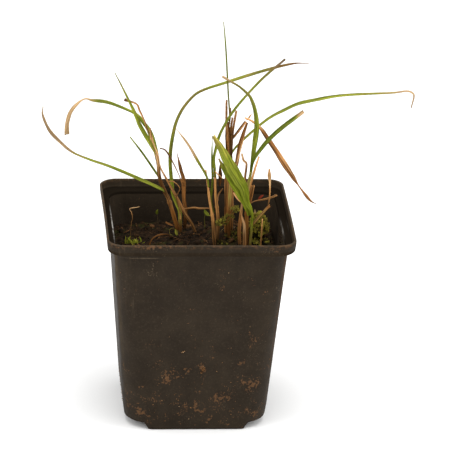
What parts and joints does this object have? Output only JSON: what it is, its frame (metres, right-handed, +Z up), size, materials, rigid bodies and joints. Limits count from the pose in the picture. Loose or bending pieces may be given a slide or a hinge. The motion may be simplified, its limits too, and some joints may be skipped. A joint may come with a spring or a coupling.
{
  "type": "potted ornamental grass",
  "caption": "Small clump of miscanthus grass, green and dead blades and cut stubs, growing in a tapered square nursery pot of compost.",
  "frame": {"origin": "centre of the pot's foot, on its underside", "axes": "+Z up out of the pot, -Y towards the front of the pot, +X to the right of the front"},
  "size_m": [0.1811, 0.09, 0.195],
  "materials": {
    "pot_plastic": "dark brown-black moulded plastic, satin, dusted with dried compost",
    "compost": "damp dark peat and bark compost, matt",
    "green_leaf": "living grass blade, satin, fine lengthwise veins and a pale midrib",
    "dead_leaf": "dried brown grass blade, matt, creased lengthwise",
    "tan_stem": "dry straw-coloured stem, matt, fibrous",
    "brown_stem": "reddish brown old culm in its dry sheath, matt",
    "moss": "soft olive green moss, matt"
  },
  "bodies": {
    "root": {"compost": "compost", "culm_left_main": "brown_stem", "culm_middle_brown": "brown_stem", "culm_middle_green": "green_leaf", "culm_middle_tan": "tan_stem", "dead_blade_base_back": "dead_leaf", "dead_blade_base_front": "dead_leaf", "dead_blade_folded": "dead_leaf", "dead_blade_left": "dead_leaf", "dead_branch_tan": "tan_stem", "dead_bundle": "dead_leaf", "dead_leaf_remnant": "dead_leaf", "dead_leaf_right": "dead_leaf", "dead_sliver_back": "tan_stem", "dead_sliver_front": "tan_stem", "dead_thread_left_back": "dead_leaf", "dead_thread_left_kinked": "tan_stem", "dead_thread_left_tip": "dead_leaf", "dead_tip_tan": "tan_stem", "fibre_pale": "tan_stem", "leaf_broad": "green_leaf", "leaf_broad_half": "green_leaf", "leaf_left_arching": "green_leaf", "leaf_left_long": "green_leaf", "leaf_left_thin": "green_leaf", "leaf_left_upright": "green_leaf", "leaf_middle_brown_tip": "green_leaf", "leaf_middle_diagonal": "green_leaf", "leaf_middle_thin": "green_leaf", "leaf_right_arching": "green_leaf", "leaf_right_long": "green_leaf", "leaf_right_torn": "green_leaf", "leaf_tall_arching": "green_leaf", "moss_cushion_right": "moss", "pot": "pot_plastic", "spike_tall": "green_leaf", "stem_fallen": "brown_stem", "stem_left_second": "tan_stem", "stem_middle": "tan_stem", "stem_right": "green_leaf", "straw_right": "tan_stem", "straw_spoon": "tan_stem", "stub_bundle_a": "tan_stem", "stub_bundle_b": "tan_stem", "stub_bundle_c": "dead_leaf", "stub_bundle_d": "dead_leaf", "stub_middle_left": "tan_stem", "stub_right_green": "brown_stem", "stub_right_kinked": "tan_stem", "stub_right_short": "brown_stem", "stub_right_tan": "tan_stem", "twig_cross": "tan_stem", "twig_middle": "tan_stem", "twig_mossy": "brown_stem", "twig_right": "tan_stem"}
  },
  "joints": []
}
